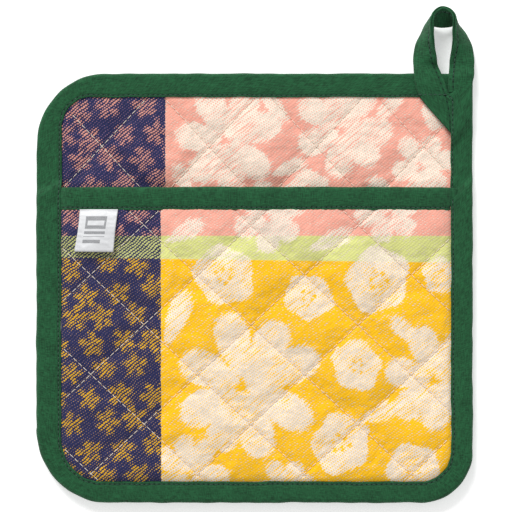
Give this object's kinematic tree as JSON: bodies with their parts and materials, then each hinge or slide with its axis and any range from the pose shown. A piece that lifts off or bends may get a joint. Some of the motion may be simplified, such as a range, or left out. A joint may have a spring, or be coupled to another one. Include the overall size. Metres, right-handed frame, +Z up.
{
  "type": "pocket potholder",
  "caption": "Square quilted cotton pocket potholder with rounded corners, bound edges, a hand pocket on its face, a folded label and a corner hanging loop.",
  "frame": {"origin": "middle of the square pad's underside, where it rests on a table", "axes": "+Z up through the pad's thickness to the pocket side, +Y towards the edge with the hanging loop, +X to the right seen from the pocket side"},
  "size_m": [0.2043, 0.231, 0.0167],
  "materials": {
    "jacquard_cloth": "yarn-dyed cotton jacquard, matt",
    "batting": "white needled cotton batting",
    "green_tape": "dark green cotton tape, matt",
    "quilting_thread": "pale grey spun polyester thread",
    "green_thread": "dark green spun polyester thread",
    "label_satin": "white woven satin ribbon"
  },
  "bodies": {
    "pad": {"back_outer_cloth": "jacquard_cloth", "back_batting": "batting", "back_inner_cloth": "jacquard_cloth", "back_quilting_thread": "quilting_thread", "edge_binding": "green_tape", "edge_binding_stitching": "green_thread", "pocket_seam_allowance": "jacquard_cloth", "loop_tail": "green_tape", "loop_tail_stitching": "green_thread"},
    "pocket": {"pocket_face_cloth": "jacquard_cloth", "pocket_batting": "batting", "pocket_lining_cloth": "jacquard_cloth", "pocket_quilting_thread": "quilting_thread", "pocket_binding": "green_tape", "pocket_binding_stitching": "green_thread"},
    "label": {"label_back_leaf": "label_satin", "label_front_leaf": "label_satin"},
    "loop": {"hanging_loop": "green_tape", "loop_stitching": "green_thread"}
  },
  "joints": [
    {"name": "pocket_opening", "type": "hinge", "parent": "pad", "child": "pocket", "pos_m": [0.00075, -0.0899, 0.007], "axis": [1, 0, 0], "range_deg": [0, 8]},
    {"name": "label_flip", "type": "hinge", "parent": "pocket", "child": "label", "pos_m": [-0.072, 0.03645, 0.0123], "axis": [-0.9935, 0, -0.1137], "range_deg": [0, 160]},
    {"name": "loop_fold", "type": "hinge", "parent": "pad", "child": "loop", "pos_m": [0.0872, 0.1027, 0.0048], "axis": [1, 0, 0], "range_deg": [-80, 95]}
  ]
}
